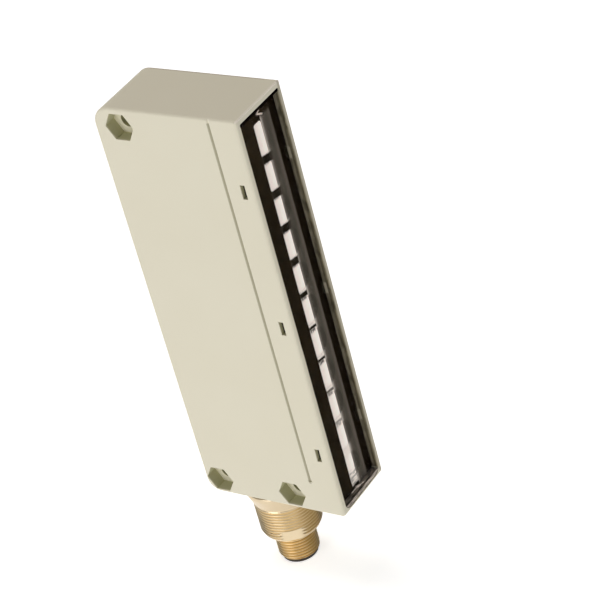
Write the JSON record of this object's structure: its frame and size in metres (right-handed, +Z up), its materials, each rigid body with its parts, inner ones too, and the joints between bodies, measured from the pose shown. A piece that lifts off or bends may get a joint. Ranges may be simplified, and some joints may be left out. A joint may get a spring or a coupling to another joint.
{
  "type": "safety light curtain",
  "caption": "Compact safety light curtain head: flat upright housing with a clear window over a column of light cells and a threaded brass plug connector below.",
  "frame": {"origin": "midway between the two lower mounting holes, on the mid-plane of the housing, where the connector's axis crosses it", "axes": "+Z up the housing away from the connector, -Y out of the window, mounting holes along X with their nut pockets in the -X side"},
  "size_m": [0.0206, 0.045, 0.152],
  "materials": {
    "housing_plastic": "warm light grey moulded plastic, faintly grained",
    "clear_plastic": "clear moulded plastic, glossy",
    "lens_plastic": "clear lens plastic, polished",
    "mask_plastic": "black moulded plastic, matt",
    "cell_white": "white translucent plastic, satin",
    "seal_rubber": "black soft rubber",
    "board": "green glass-fibre laminate with a satin lacquer",
    "chip": "black moulded resin",
    "ferrite": "dark grey ferrite",
    "capacitor_can": "drawn aluminium can",
    "screw_steel": "zinc-plated steel",
    "diode_resin": "dark tinted clear resin",
    "brass": "bare turned brass, lightly lustrous",
    "insert_plastic": "black moulded plastic",
    "pin_metal": "gold-plated contact pin",
    "lead_sleeve": "insulated lead, soft matt sleeve"
  },
  "bodies": {
    "root": {"housing": "housing_plastic", "window_cover": "clear_plastic", "lens_bar": "lens_plastic", "mask_frame": "mask_plastic", "frame_seal": "seal_rubber", "connector_seal": "seal_rubber", "optics_board": "board", "main_board": "board", "processor_a": "chip", "processor_b": "chip", "driver_chip": "chip", "regulator": "chip", "output_switch_a": "chip", "output_switch_b": "chip", "board_link": "chip", "inductor": "ferrite", "capacitor_a": "capacitor_can", "capacitor_b": "capacitor_can", "board_screw_1": "screw_steel", "board_screw_2": "screw_steel", "connector_nut": "screw_steel", "beam_cell_1": "cell_white", "beam_cell_2": "cell_white", "beam_cell_3": "cell_white", "beam_cell_4": "cell_white", "beam_cell_5": "cell_white", "beam_cell_6": "cell_white", "beam_cell_7": "cell_white", "beam_cell_8": "cell_white", "beam_cell_9": "cell_white", "beam_cell_10": "cell_white", "beam_cell_11": "cell_white", "diode_1": "diode_resin", "diode_2": "diode_resin", "diode_3": "diode_resin", "diode_4": "diode_resin", "diode_5": "diode_resin", "diode_6": "diode_resin", "diode_7": "diode_resin", "diode_8": "diode_resin", "diode_9": "diode_resin", "diode_10": "diode_resin", "diode_11": "diode_resin", "connector_body": "brass", "connector_insert": "insert_plastic", "contact_pin_1": "pin_metal", "contact_pin_2": "pin_metal", "contact_pin_3": "pin_metal", "contact_pin_4": "pin_metal", "lead_1": "lead_sleeve", "lead_2": "lead_sleeve", "lead_3": "lead_sleeve", "lead_4": "lead_sleeve"}
  },
  "joints": []
}
